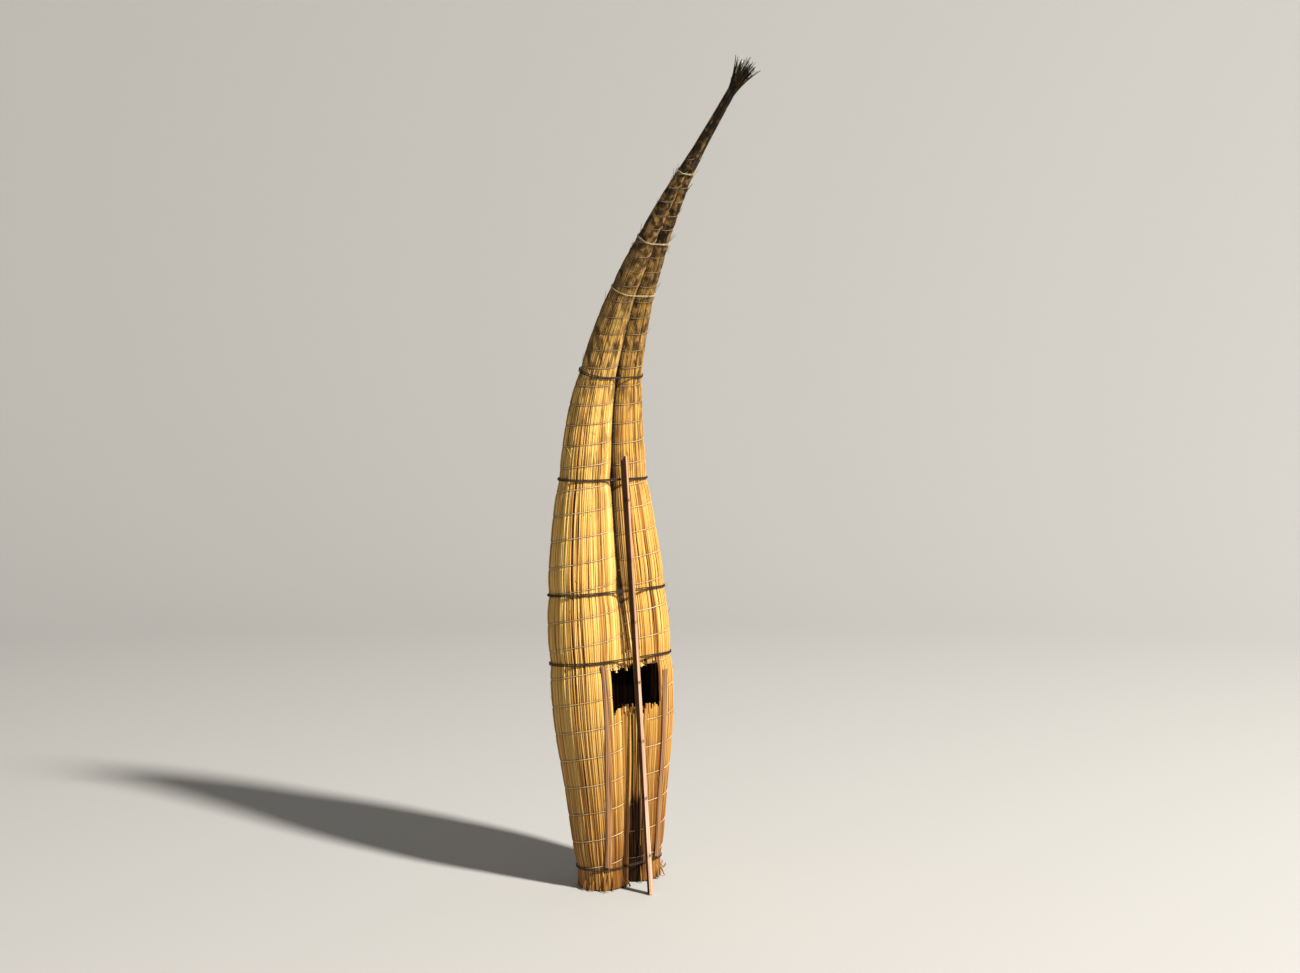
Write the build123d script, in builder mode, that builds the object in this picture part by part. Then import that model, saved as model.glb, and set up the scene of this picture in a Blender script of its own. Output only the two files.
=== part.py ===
# Reed boat standing on its stern: two main bundles, two upper bundles, cockpit, cords and a cane paddle.
# Millimetres, Z up along the boat, deck towards -Y, stern on the ground at Z = 0.
from build123d import *
import math
import os

os.makedirs("parts", exist_ok=True)

# Clearances
SEAT = 0.3
LOOP_SLACK = 0.5

# Main bundles: centre line of the pair and bundle radius. Columns: z, y, radius.
HULL = [
    (-60, 25, 113),
    (440, 46, 147),
    (860, 72, 175),
    (1380, 120, 172),
    (1710, 144, 152),
    (2010, 152, 127),
    (2300, 132, 108),
    (2550, 76, 88),
    (2790, -15, 72),
    (2980, -115, 59),
    (3200, -255, 42),
    (3400, -400, 27),
    (3560, -535, 17),
]
# Centres of the two bundles stand this share of the radius off the middle
PRESS = 0.93
SECTION_PITCH = 125

# Upper bundles. Columns: z, radius, offset to the side, offset towards the deck.
HIJO = [
    (1052, 74, 66, 78),
    (1380, 64, 58, 54),
    (1710, 54, 50, 40),
    (2010, 44, 40, 33),
    (2300, 36, 32, 29),
    (2550, 27, 24, 26),
    (2760, 18, 15, 21),
]

# Stubs behind the cockpit, same columns
FILLER_LEFT = [
    (-60, 44, 66, 70),
    (440, 62, 68, 80),
    (850, 80, 76, 92),
]
FILLER_RIGHT = [
    (-60, 34, 52, 72),
    (440, 44, 62, 92),
    (850, 54, 74, 116),
]

# Cockpit
COCKPIT_LOW = 850
COCKPIT_HIGH = 1052
COCKPIT_HALF_WIDTH = 155
COCKPIT_DEPTH = 175
COCKPIT_CORNER = 25
COCKPIT_CLEAR = 60

# Cords
CORD = 8
CORD_WIDTH = 11
LASHING_Z = [100, 1088, 1417, 1969, 2495]
TIE = 5
TIE_WIDTH = 8
TIE_Z = [2900, 3140, 3450]

# Bow
NECK_ROWS = [(3560, -535, 32), (3685, -644, 25), (3790, -735, 21)]
TUFT_ROWS = [(3790, -735, 20), (3850, -787, 27), (3925, -852, 44)]

# Cane strips beside the cockpit. Columns: z, offset to the side.
BATTEN_LEFT = [(112, -172), (1074, -206)]
BATTEN_RIGHT = [(112, 130), (1010, 190)]
BATTEN_WIDTH = 32
BATTEN_THICK = 7

# Paddle
PADDLE_RADIUS = 24
PADDLE_WALL = 5
PADDLE_SPARE = 20
PADDLE_TURN = 70
PADDLE_LENGTH = 2100
PADDLE_TOP_X = -10
PADDLE_FOOT_X = -54
PADDLE_NODES = [180, 450, 720, 1000, 1290, 1590, 1880]
PADDLE_NODE_THICK = 4
PADDLE_LOOPS = (LASHING_Z[1], LASHING_Z[2])


def slope_at(rows, i, column):
    """Slope of a table column at row i."""
    low = rows[max(i - 1, 0)]
    high = rows[min(i + 1, len(rows) - 1)]
    return (high[column] - low[column]) / (high[0] - low[0])


def between(rows, z, column):
    """Value of a table column at height z on a smooth curve through the rows."""
    i = 0
    while i < len(rows) - 2 and z > rows[i + 1][0]:
        i += 1
    low = rows[i]
    high = rows[i + 1]
    span = high[0] - low[0]
    t = (z - low[0]) / span
    start = (1 + 2 * t) * (1 - t) ** 2 * low[column] + t * (1 - t) ** 2 * span * slope_at(rows, i, column)
    end = t * t * (3 - 2 * t) * high[column] + t * t * (t - 1) * span * slope_at(rows, i + 1, column)
    return start + end


def steps(low, high, pitch):
    """Even heights from low to high, about one pitch apart."""
    count = max(2, round((high - low) / pitch))
    return [low + (high - low) * i / count for i in range(count + 1)]


def hull_y(z):
    """Centre line of the hull."""
    return between(HULL, z, 1)


def hull_radius(z):
    """Radius of one main bundle."""
    return between(HULL, z, 2)


def lean(z):
    """Slope of the centre line in degrees."""
    step = 10
    return math.degrees(math.atan2(hull_y(z + step) - hull_y(z - step), 2 * step))


def station(z):
    """Plane square to the hull at height z. Local x is to the side, local -y is the deck."""
    angle = math.radians(lean(z))
    return Plane(origin=(0, hull_y(z), z), x_dir=(1, 0, 0), z_dir=(0, math.sin(angle), math.cos(angle)))


def disc(plane, x, y, radius):
    """One round section."""
    with BuildSketch(plane) as section:
        with Locations((x, y)):
            Circle(radius)
    return section.sketch


def hull_discs(side, grow):
    """Round sections of one main bundle."""
    discs = []
    for z in steps(HULL[0][0], HULL[-1][0], SECTION_PITCH):
        radius = hull_radius(z)
        discs.append(disc(station(z), side * PRESS * radius, 0, radius + grow))
    return discs


def row_discs(rows, side, grow):
    """Round sections of a bundle that lies between the main ones."""
    discs = []
    for z in steps(rows[0][0], rows[-1][0], SECTION_PITCH):
        radius = between(rows, z, 1) + grow
        discs.append(disc(station(z), side * between(rows, z, 2), -between(rows, z, 3), radius))
    return discs


def keep_side(side):
    """Cuts the bundle flat where it presses on its twin."""
    keep = Keep.TOP if side > 0 else Keep.BOTTOM
    split(bisect_by=Plane.YZ, keep=keep)


def cockpit_cut():
    """Takes the cockpit out of a main bundle."""
    height = COCKPIT_HIGH - COCKPIT_LOW
    middle = (COCKPIT_HIGH + COCKPIT_LOW) / 2
    front = hull_y(middle) - hull_radius(middle) - COCKPIT_CLEAR
    with BuildSketch(Plane.XZ.offset(-front)) as outline:
        with Locations((0, middle)):
            RectangleRounded(2 * COCKPIT_HALF_WIDTH, height, COCKPIT_CORNER)
    extrude(outline.sketch, amount=-(COCKPIT_DEPTH + COCKPIT_CLEAR), mode=Mode.SUBTRACT)


def half_hull():
    """The left main bundle before its bed is cut."""
    with BuildPart() as bundle:
        loft(hull_discs(-1, 0))
        keep_side(-1)
        split(bisect_by=Plane.XY, keep=Keep.TOP)
        cockpit_cut()
        loft(row_discs(HIJO, -1, SEAT), mode=Mode.SUBTRACT)
    return bundle.part


def twin(other, name):
    """The same bundle on the right."""
    with BuildPart() as bundle:
        add(other)
        mirror(about=Plane.YZ, mode=Mode.REPLACE)
    bundle.part.label = name
    return bundle.part


def madre(half, filler_rows, side, name):
    """A full-length main bundle with a bed for the stubs beside it."""
    with BuildPart() as bundle:
        add(half)
        loft(row_discs(filler_rows, side, SEAT), mode=Mode.SUBTRACT)
    solids = bundle.part.solids().sort_by(SortBy.VOLUME)
    with BuildPart() as largest:
        add(solids[-1])
    largest.part.label = name
    return largest.part


def upper_bundle(rows, side, name):
    """A bundle that lies pressed into the groove between the main bundles."""
    with BuildPart() as bundle:
        loft(row_discs(rows, side, 0))
        keep_side(side)
        split(bisect_by=Plane.XY, keep=Keep.TOP)
    bundle.part.label = name
    return bundle.part


def deck_height(z):
    """Outermost bundle surface towards the deck, from the hull's centre line."""
    heights = [hull_radius(z)]
    for rows in (HIJO, FILLER_LEFT, FILLER_RIGHT):
        if rows[0][0] < z < rows[-1][0]:
            heights.append(between(rows, z, 1) + between(rows, z, 3))
    return max(heights)


def loop_face(z, grow):
    """Tight loop round every bundle at height z, grown outwards."""
    radius = hull_radius(z)
    circles = [(-PRESS * radius, 0, radius), (PRESS * radius, 0, radius)]
    for rows in (HIJO, FILLER_LEFT, FILLER_RIGHT):
        if rows[0][0] < z < rows[-1][0]:
            side = 1 if rows is not FILLER_LEFT else -1
            circle = (side * between(rows, z, 2), -between(rows, z, 3), between(rows, z, 1))
            circles.append(circle)
            if rows is HIJO:
                circles.append((-circle[0], circle[1], circle[2]))
    with BuildSketch(Plane.XY) as rounds:
        for x, y, r in circles:
            with Locations((x, y)):
                Circle(r + grow, mode=Mode.ADD)
        make_hull()
    return rounds.sketch


def loop(z, thick, width):
    """One cord loop."""
    taper = abs(hull_radius(z + width) - hull_radius(z)) + LOOP_SLACK
    plane = station(z).offset(-width / 2)
    outer = loop_face(z, taper + thick)
    inner = loop_face(z, taper)
    with BuildPart() as cord:
        with BuildSketch(plane):
            add(outer)
            add(inner, mode=Mode.SUBTRACT)
        extrude(amount=width)
    return cord.part


def loops(heights, thick, width, name):
    """Cord loops of one kind, which do not touch."""
    made = [loop(z, thick, width) for z in heights]
    with BuildPart() as cords:
        for one in made:
            add(one)
    cords.part.label = name
    return cords.part


def bow_plane(z, y, angle):
    """Plane square to the bow at a stated slope."""
    return Plane(origin=(0, y, z), x_dir=(1, 0, 0), z_dir=(0, math.sin(angle), math.cos(angle)))


def bow_piece(rows, name):
    """Round tapered bundle at the bow, which starts just past the piece below it."""
    below = math.radians(lean(rows[0][0] - 5))
    ahead = math.atan2(rows[-1][1] - rows[0][1], rows[-1][0] - rows[0][0])
    angles = [below if rows is NECK_ROWS else ahead] + [ahead] * (len(rows) - 1)
    discs = []
    for (z, y, radius), angle in zip(rows, angles):
        grow = SEAT if (z, y) == rows[0][:2] else 0
        discs.append(disc(bow_plane(z, y, angle).offset(grow), 0, 0, radius))
    with BuildPart() as bundle:
        loft(discs)
    bundle.part.label = name
    return bundle.part


def batten_point(rows, z):
    """Point on the main bundle's crown under a cane strip."""
    x = between(rows, z, 1)
    radius = hull_radius(z)
    off = abs(x) - PRESS * radius
    return x, -math.sqrt(max(radius * radius - off * off, 1.0))


def batten(rows, name):
    """Cane strip that follows the bundle's surface."""
    heights = [rows[0][0] + (rows[1][0] - rows[0][0]) * i / 5 for i in range(6)]
    with BuildPart() as strip:
        for z in heights:
            x, y = batten_point(rows, z)
            centre = math.copysign(PRESS * hull_radius(z), x)
            turn = math.degrees(math.atan2(y, x - centre)) + 90
            with BuildSketch(station(z)):
                with Locations(Location((x, y, 0), (0, 0, turn))):
                    with Locations((0, -BATTEN_THICK / 2 - 1.0)):
                        Rectangle(BATTEN_WIDTH, BATTEN_THICK)
        loft()
        for side in (-1, 1):
            loft(hull_discs(side, SEAT), mode=Mode.SUBTRACT)
    strip.part.label = name
    return strip.part


def loop_front(z):
    """World point on the deck side of the cord loop at height z."""
    taper = abs(hull_radius(z + CORD_WIDTH) - hull_radius(z)) + LOOP_SLACK
    out = deck_height(z) + taper + CORD + SEAT
    angle = math.radians(lean(z))
    low = CORD_WIDTH / 2
    return (
        hull_y(z) - out * math.cos(angle) - low * math.sin(angle),
        z + out * math.sin(angle) - low * math.cos(angle),
    )


def paddle_plane():
    """Plane square to the paddle at its foot: it rests on two cords and the ground, its split side turned left."""
    y_low, z_low = loop_front(PADDLE_LOOPS[0])
    y_high, z_high = loop_front(PADDLE_LOOPS[1])
    slope = (y_high - y_low) / (z_high - z_low)
    reach = PADDLE_RADIUS * math.sin(math.radians(PADDLE_TURN))
    foot_y = y_low - slope * z_low - reach * math.sqrt(1 + slope * slope)
    top_z = PADDLE_LENGTH / math.sqrt(1 + slope * slope)
    foot = Vector(PADDLE_FOOT_X, foot_y, 0)
    top = Vector(PADDLE_TOP_X, foot_y + slope * top_z, top_z)
    along = (top - foot).normalized()
    across = Vector(1, 0, 0) - along * along.X
    return Plane(origin=foot, x_dir=across, z_dir=along)


def split_side():
    """Middle of the half that was split off the cane."""
    turn = math.radians(PADDLE_TURN)
    return Location((-PADDLE_RADIUS * math.sin(turn), PADDLE_RADIUS * math.cos(turn), 0), (0, 0, PADDLE_TURN))


def paddle():
    """Half of a split cane with its nodes."""
    plane = paddle_plane()
    with BuildPart() as cane:
        with BuildSketch(plane.offset(-PADDLE_SPARE)):
            Circle(PADDLE_RADIUS)
            Circle(PADDLE_RADIUS - PADDLE_WALL, mode=Mode.SUBTRACT)
            with Locations(split_side()):
                Rectangle(3 * PADDLE_RADIUS, 2 * PADDLE_RADIUS, mode=Mode.SUBTRACT)
        extrude(amount=PADDLE_LENGTH + PADDLE_SPARE)
        for height in PADDLE_NODES:
            with BuildSketch(plane.offset(height)):
                Circle(PADDLE_RADIUS - PADDLE_WALL / 2)
                with Locations(split_side()):
                    Rectangle(3 * PADDLE_RADIUS, 2 * PADDLE_RADIUS, mode=Mode.SUBTRACT)
            extrude(amount=PADDLE_NODE_THICK)
        split(bisect_by=Plane.XY, keep=Keep.TOP)
    cane.part.label = "paddle"
    return cane.part


HALF = half_hull()
UPPER = upper_bundle(HIJO, -1, "hijo_left")

PIECES = [
    madre(HALF, FILLER_LEFT, -1, "madre_left"),
    madre(twin(HALF, "half"), FILLER_RIGHT, 1, "madre_right"),
    UPPER,
    twin(UPPER, "hijo_right"),
    upper_bundle(FILLER_LEFT, -1, "stern_filler_left"),
    upper_bundle(FILLER_RIGHT, 1, "stern_filler_right"),
    bow_piece(NECK_ROWS, "bow_neck"),
    bow_piece(TUFT_ROWS, "bow_tuft"),
    loops(LASHING_Z, CORD, CORD_WIDTH, "lashings"),
    loops(TIE_Z, TIE, TIE_WIDTH, "bow_ties"),
    batten(BATTEN_LEFT, "batten_left"),
    batten(BATTEN_RIGHT, "batten_right"),
    paddle(),
]

for piece in PIECES:
    export_step(piece, "parts/" + piece.label + ".step")
    box = piece.bounding_box()
    print(piece.label, len(piece.solids()), round(piece.volume / 1e6, 2), box.min, box.max)
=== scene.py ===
import math
import random

import bpy
import numpy as np
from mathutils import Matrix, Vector


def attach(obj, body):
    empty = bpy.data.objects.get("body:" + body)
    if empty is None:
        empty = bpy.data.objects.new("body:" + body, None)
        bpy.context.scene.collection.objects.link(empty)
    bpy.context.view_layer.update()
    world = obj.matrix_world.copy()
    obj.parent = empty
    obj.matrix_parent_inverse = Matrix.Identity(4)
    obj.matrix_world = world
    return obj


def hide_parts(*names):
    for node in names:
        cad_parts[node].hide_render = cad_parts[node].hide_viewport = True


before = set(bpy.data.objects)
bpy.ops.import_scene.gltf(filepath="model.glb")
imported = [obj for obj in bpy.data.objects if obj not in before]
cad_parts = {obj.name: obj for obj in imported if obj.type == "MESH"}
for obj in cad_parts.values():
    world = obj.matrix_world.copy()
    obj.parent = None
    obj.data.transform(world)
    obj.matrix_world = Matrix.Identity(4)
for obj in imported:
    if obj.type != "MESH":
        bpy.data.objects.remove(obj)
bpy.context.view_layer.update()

# Lengths are millimetres until Builder.add turns them into metres. The tables are the part's own.
MM = 1000

# Main bundles. Columns: z, y, radius.
HULL = [
    (-60, 25, 113),
    (440, 46, 147),
    (860, 72, 175),
    (1380, 120, 172),
    (1710, 144, 152),
    (2010, 152, 127),
    (2300, 132, 108),
    (2550, 76, 88),
    (2790, -15, 72),
    (2980, -115, 59),
    (3200, -255, 42),
    (3400, -400, 27),
    (3560, -535, 17),
]
# Each main bundle stands this share of its radius off the middle
PRESS = 0.93
BOW_END = 3560

# Upper bundles and stern stubs. Columns: z, radius, offset to the side, offset towards the deck.
HIJO = [
    (1052, 74, 66, 78),
    (1380, 64, 58, 54),
    (1710, 54, 50, 40),
    (2010, 44, 40, 33),
    (2300, 36, 32, 29),
    (2550, 27, 24, 26),
    (2760, 18, 15, 21),
]
FILLER_LEFT = [(-60, 44, 66, 70), (440, 62, 68, 80), (850, 80, 76, 92)]
FILLER_RIGHT = [(-60, 34, 52, 72), (440, 44, 62, 92), (850, 54, 74, 116)]

# Neck, columns: z, y, radius. Tuft, columns: z, y.
NECK = [(3470, -458, 30), (3560, -535, 28), (3685, -644, 23), (3790, -735, 20), (3830, -770, 19)]
TUFT_ROOT = (3770, -718)
TUFT_TIP = (3925, -852)
TUFT_RADIUS = 17

COCKPIT_LOW = 850
COCKPIT_HIGH = 1052
COCKPIT_HALF_WIDTH = 155
COCKPIT_BACK_Y = 72
COCKPIT_FRONT_Y = -112

# Height below which the groove at the stern stands open
STERN_GAP = 413.0

# Cords: heights, and how far they draw the bundles in
LASHING_Z = [100, 1088, 1417, 1969, 2495]
TIE_Z = [2900, 3140, 3450]
LASHING_PULL = 8.0
# Radius of each kind of cord
LASHING_RADIUS = 3.1
STERN_CORD = 2.1
STRAND_RADIUS = 2.6
TIE_RADIUS = 1.5
# The cord solids, which the paddle leans on
CORD = 8
CORD_WIDTH = 11
LOOP_SLACK = 0.5
LOOP_SEAT = 0.3

# Cane strips. Columns: z, offset to the side.
BATTEN_LEFT = [(112, -172), (1074, -206)]
BATTEN_RIGHT = [(112, 130), (1010, 190)]
BATTEN_WIDTH = 32
BATTEN_THICK = 7

PADDLE_RADIUS = 24
PADDLE_WALL = 5
PADDLE_LENGTH = 2100
PADDLE_TAPER = 0.10
PADDLE_TOP_X = -10
PADDLE_FOOT_X = -54
PADDLE_NODES = [180, 450, 720, 1000, 1290, 1590, 1880]
# Degrees that the split side is turned from the hull: the solid's, and here at the foot and at the top
PADDLE_TURN_SOLID = 70
PADDLE_TURN_FOOT = 60.0
PADDLE_TURN_TOP = 90.0

# Reeds round each bundle, their section and how they overlap
REEDS_MADRE = 128
REEDS_HIJO = 50
REEDS_NECK = 34
REEDS_TUFT = 150
REED_STEP = 34.0
REED_SIDES = 5
REED_OVERLAP = 1.14
# One sunken reed on the left bundle leaves a crack, coloured darkest as painted shade
CRACK_ANGLE = -60.0
CRACK_LOW = 1440
CRACK_HIGH = 1950
CRACK_WIDTH = 0.7
CRACK_SHADE_TONE = -0.1
CRACK_LIFT = -2.4
# Body under the reeds, coloured dark as painted shade in the gaps between them
CORE_SHRINK = 4.5
CORE_TONE = 0.05
CORE_STEP = 20
# Pitch of the cut ends
END_PITCH = 12.5
STUB_PITCH = 11.5
WALL_REED = 6.6
WALL_PITCH = 11.5
FLOOR_REED = 6.0
FLOOR_PITCH = 12.0

# Loose reeds: short bits along the hull, frays and curls at the foot
LOOSE_BITS = 260
FOOT_FRAYS = 26
FOOT_CURLS = 7
FOOT_Z = 20
# Path of a curl, out and up, and its radius at each point
CURL_PATH = ((0, 0), (7, -22), (20, -38), (34, -36), (42, -25), (40, -14))
CURL_RADII = [3.4, 3.4, 3.1, 2.8, 2.4, 1.9]

# Twine: distance between turns, which closes from a height up, and its radius
TWINE_PITCH = 132.0
TWINE_PITCH_LEAST = 62.0
TWINE_CLOSES_FROM = 1500
TWINE_CLOSING = 0.042
TWINE_RADIUS = 1.9
TWINE_RADIUS_BOW = 1.4
TWINE_THIN_FROM = 2600
TWINE_MADRE = (30, 3550)
TWINE_HIJO = (1070, 2740)
# How deep the twine presses into the reeds, and how far up and down
TWINE_PULL = 3.2
TWINE_SPREAD = 7.0

# Camera in metres, turned from the deck's normal to the left as in the photo
CAMERA_SIDE = 43.0
CAMERA_DISTANCE = 8.6
CAMERA_HEIGHT = 2.6
LENS = 48.5
SHIFT_Y = -0.104
AIM_RIGHT = 0.13

# Backdrop in metres
BOWL_SHIFT = 16.0
BOWL_INNER = 4.0
BOWL_FLOOR = 24.0
BOWL_CURVE = 9.0
BOWL_TOP = 40.0
BOWL_COLOUR = (0.405, 0.41, 0.415)

KEY_POWER = 17600
FILL_POWER = 6
WORLD_STRENGTH = 0.12

TURN = 2 * math.pi
SIDE_AXIS = np.array((1.0, 0.0, 0.0))


# Shape of the boat


def slope_at(rows, i, column):
    """Slope of a table column at row i."""
    low = rows[max(i - 1, 0)]
    high = rows[min(i + 1, len(rows) - 1)]
    return (high[column] - low[column]) / (high[0] - low[0])


def between(rows, z, column):
    """Value of a table column at height z on a smooth curve through the rows."""
    i = 0
    while i < len(rows) - 2 and z > rows[i + 1][0]:
        i += 1
    low = rows[i]
    high = rows[i + 1]
    span = high[0] - low[0]
    t = (z - low[0]) / span
    start = (1 + 2 * t) * (1 - t) ** 2 * low[column] + t * (1 - t) ** 2 * span * slope_at(rows, i, column)
    end = t * t * (3 - 2 * t) * high[column] + t * t * (t - 1) * span * slope_at(rows, i + 1, column)
    return start + end


def hull_y(z):
    """Centre line of the hull."""
    return between(HULL, z, 1)


def hull_radius(z):
    """Radius of one main bundle."""
    return between(HULL, z, 2)


def lashing_pull(z):
    """How far the cords draw the bundles in at height z."""
    near = sum(math.exp(-(((z - at) / 55.0) ** 2)) for at in LASHING_Z + TIE_Z)
    return LASHING_PULL * near * min(1.0, hull_radius(z) / 140)


def hull_slope(z):
    """Slope of the hull's centre line."""
    step = 10
    return (hull_y(z + step) - hull_y(z - step)) / (2 * step)


def place(z, x, y):
    """World point of local x, y in the plane square to the hull at height z."""
    slope = hull_slope(z)
    size = math.sqrt(1 + slope * slope)
    return np.array((x, hull_y(z) + y / size, z - y * slope / size))


def tangent(z):
    """Direction along the hull."""
    slope = hull_slope(z)
    size = math.sqrt(1 + slope * slope)
    return np.array((0.0, slope / size, 1 / size))


class Bundle:
    """Centre and radius of a bundle at each height: a main bundle, or one with a table of its own."""

    def __init__(self, side, rows=None):
        self.side = side
        self.rows = rows

    def centre(self, z):
        """Centre in the plane square to the hull."""
        if self.rows:
            return self.side * between(self.rows, z, 2), -between(self.rows, z, 3)
        return self.side * PRESS * hull_radius(z), 0.0

    def radius(self, z):
        """Radius at height z."""
        return between(self.rows, z, 1) if self.rows else hull_radius(z)

    def holds(self, x, y, z, margin):
        """Whether a local place is deeper than the margin inside the bundle."""
        if self.rows and not self.rows[0][0] < z < self.rows[-1][0]:
            return False
        cx, cy = self.centre(z)
        return math.hypot(x - cx, y - cy) < self.radius(z) - margin


MADRES = {side: Bundle(side) for side in (-1, 1)}
HIJOS = {side: Bundle(side, HIJO) for side in (-1, 1)}


def groove_depth(point):
    """How deep a world place lies in the groove between the bundles: 0 on a crown, 1 at the bottom. The
    materials darken by it: dirt and painted shade.
    """
    x, y, z = point
    if not 0 < z < BOW_END:
        return 0.0
    r = hull_radius(z)
    local = abs(y - hull_y(z)) * math.sqrt(1 + hull_slope(z) ** 2)
    if abs(x) > PRESS * r:
        return 0.0
    # At the stern, where the groove stands open, the painted shade starts nearer the crowns and goes fully
    # dark sooner
    start, spread = (0.06, 0.10) if z < STERN_GAP else (0.20, 0.30)
    return min(1.0, max(0.0, (1 - local / r - start) / spread))


# Mesh building

# Values stored on each point for the materials
VALUES = ("tone", "run", "across", "pinch", "depth")


def add_to_scene(name, data):
    """Object for a mesh, a light or a camera."""
    made = bpy.data.objects.new(name, data)
    bpy.context.collection.objects.link(made)
    return made


class Builder:
    """Collects points and faces with a few values per point."""

    def __init__(self):
        self.points = []
        self.faces = []
        self.marks = []
        self.values = {key: [] for key in VALUES}

    def add(self, point, tone, run, across, pinch=0.0):
        """One point with its values."""
        self.points.append(tuple(float(value) / MM for value in point))
        for key, value in zip(VALUES, (tone, run, across, pinch, groove_depth(point))):
            self.values[key].append(value)

    def strip(self, rows, tone, runs, closed, mark=0, pinches=None):
        """Joins rows of points into a skin."""
        start = len(self.points)
        count = len(rows[0])
        for i, row in enumerate(rows):
            for j, point in enumerate(row):
                self.add(point, tone, runs[i], j / max(1, count - 1), pinches[i] if pinches else 0.0)
        turns = count if closed else count - 1
        for i in range(len(rows) - 1):
            for j in range(turns):
                a = start + i * count + j
                b = start + i * count + (j + 1) % count
                self.faces.append((a, b, b + count, a + count))
                self.marks.append(mark)

    def cap(self, row, tone, run, mark=0):
        """Closes a ring of points with one face."""
        start = len(self.points)
        for point in row:
            self.add(point, tone, run, 0.5)
        self.faces.append(tuple(range(start, start + len(row))))
        self.marks.append(mark)

    def make(self, name, materials, slot, *nodes):
        """Turns what was collected into an object that stands for CAD nodes."""
        mesh = bpy.data.meshes.new(name)
        mesh.from_pydata(self.points, [], self.faces)
        for key in VALUES:
            layer = mesh.attributes.new(key, "FLOAT", "POINT")
            layer.data.foreach_set("value", self.values[key])
        mesh.polygons.foreach_set("use_smooth", [True] * len(mesh.polygons))
        for material in materials:
            mesh.materials.append(material)
        mesh.polygons.foreach_set("material_index", self.marks)
        mesh.update()
        made = add_to_scene(name, mesh)
        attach(made, "root")
        if nodes:
            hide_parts(*nodes)


def wave(rng, size, length):
    """A smooth wandering value along a bundle."""
    parts = []
    for _ in range(2):
        parts.append((size * rng.uniform(0.4, 1.0), length * rng.uniform(0.5, 1.6), rng.uniform(0, TURN)))
    return lambda s: sum(a * math.sin(TURN * s / l + p) for a, l, p in parts)


def tube(build, path, radii, tone, sides=5, ends=True, mark=0):
    """Round tube along a path of world points."""
    path = [np.array(p, dtype=float) for p in path]
    rows = []
    runs = []
    side = None
    for i, point in enumerate(path):
        ahead = path[min(i + 1, len(path) - 1)] - path[max(i - 1, 0)]
        ahead = ahead / (np.linalg.norm(ahead) + 1e-9)
        if side is None:
            side = SIDE_AXIS if abs(ahead[0]) < 0.9 else np.array((0.0, 1.0, 0.0))
        side = side - ahead * np.dot(side, ahead)
        side = side / np.linalg.norm(side)
        other = np.cross(ahead, side)
        r = radii[i] if hasattr(radii, "__len__") else radii
        angles = [TURN * k / sides for k in range(sides)]
        rows.append([point + r * (math.cos(a) * side + math.sin(a) * other) for a in angles])
        runs.append(float(point[2]) / MM)
    build.strip(rows, tone, runs, True, mark)
    if ends:
        build.cap(rows[0][::-1], tone, runs[0], mark)
        build.cap(rows[-1], tone, runs[-1], mark)


def twisted(build, path, radius, strand, pitch, tone, strands=3):
    """Cord of twisted strands along a closed path of world points."""
    path = np.array(path, dtype=float)
    closed = np.vstack((path, path[:1]))
    steps = np.linalg.norm(np.diff(closed, axis=0), axis=1)
    total = np.concatenate(([0.0], np.cumsum(steps)))
    turns = max(1, round(total[-1] / pitch))
    count = turns * 8
    at = np.linspace(0, total[-1], count + 1)
    line = np.stack([np.interp(at, total, closed[:, k]) for k in range(3)], axis=1)
    for s in range(strands):
        made = []
        for i in range(count + 1):
            ahead = line[(i + 1) % count] - line[(i - 1) % count]
            ahead = ahead / (np.linalg.norm(ahead) + 1e-9)
            up = np.array((0.0, 0.0, 1.0)) - ahead * ahead[2]
            up = up / np.linalg.norm(up)
            out = np.cross(ahead, up)
            a = TURN * (i * turns / count + s / strands)
            made.append(line[i] + radius * (math.cos(a) * up + math.sin(a) * out))
        tube(build, made, strand, tone, 5, False)


# Twine round the bundles


def twine_pitch(z):
    """Distance between turns of the twine."""
    return max(TWINE_PITCH_LEAST, TWINE_PITCH - TWINE_CLOSING * max(0.0, z - TWINE_CLOSES_FROM))


PHASE_STEP = 10.0
PHASES = [0.0]
while len(PHASES) * PHASE_STEP < 4200:
    PHASES.append(PHASES[-1] + PHASE_STEP / twine_pitch(len(PHASES) * PHASE_STEP))


def twine_phase(z):
    """Turns of twine from the stern up to height z."""
    at = max(0.0, z) / PHASE_STEP
    i = min(int(at), len(PHASES) - 2)
    return PHASES[i] + (at - i) * (PHASES[i + 1] - PHASES[i])


def twine_near(z, angle):
    """One where the twine passes, zero away from it."""
    turn = (twine_phase(z) - angle / TURN) % 1.0
    off = min(turn, 1 - turn) * twine_pitch(z)
    return math.exp(-((off / TWINE_SPREAD) ** 2))


def in_cockpit(x, y, z, margin):
    """Whether a local place falls inside the cockpit."""
    return abs(x) < COCKPIT_HALF_WIDTH + margin and COCKPIT_LOW - margin < z < COCKPIT_HIGH + margin and y < 0


def twine_paths(bundle, low, high, start, over):
    """Stretches of the twine that show on a bundle, apart from where the other bundle covers it."""
    stretches = [[]]
    z = low
    first = twine_phase(low) + start
    steps = 40
    total = int((twine_phase(high) - twine_phase(low)) * steps)
    for i in range(total):
        turn = first + i / steps
        while twine_phase(z) < turn - start and z < high:
            z += 1.0
        angle = turn * TURN
        r = bundle.radius(z) - lashing_pull(z) + 0.2
        cx, cy = bundle.centre(z)
        x = cx + r * math.sin(angle)
        y = cy - r * math.cos(angle)
        if x * bundle.side < 1.5 or over.holds(x, y, z, 2) or in_cockpit(x, y, z, 4):
            stretches.append([])
        else:
            stretches[-1].append(place(z, x, y))
    return [stretch for stretch in stretches if len(stretch) > 2]


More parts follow.
